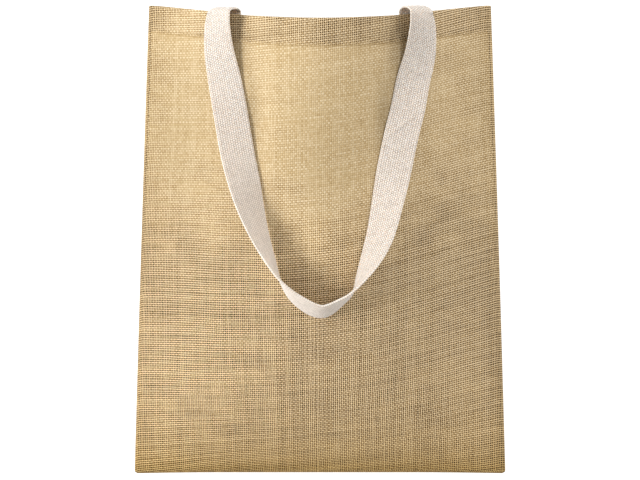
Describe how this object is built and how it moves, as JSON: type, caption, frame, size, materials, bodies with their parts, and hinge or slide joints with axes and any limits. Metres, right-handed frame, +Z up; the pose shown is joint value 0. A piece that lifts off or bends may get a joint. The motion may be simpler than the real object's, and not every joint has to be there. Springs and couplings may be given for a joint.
{
  "type": "jute tote bag",
  "caption": "Flat two-panel shopping tote of plain woven jute, puffed open and lying on its back, with webbing handles sewn inside its mouth hem.",
  "frame": {"origin": "centre of the bag's footprint, on the surface that it lies on", "axes": "+Y along the bag to its open mouth, +Z up out of its front panel, +X to the right seen from above with the mouth away"},
  "size_m": [0.3364, 0.4228, 0.141],
  "materials": {
    "jute_front": "natural undyed jute, open plain weave, matt",
    "jute_back": "natural undyed jute, open plain weave, matt",
    "webbing_front": "off-white cotton webbing, fine crosswise ribs, matt",
    "webbing_back": "off-white cotton webbing, fine crosswise ribs, matt"
  },
  "bodies": {
    "root": {"front_panel": "jute_front", "back_panel": "jute_back", "front_handle": "webbing_front", "back_handle": "webbing_back"}
  },
  "joints": []
}
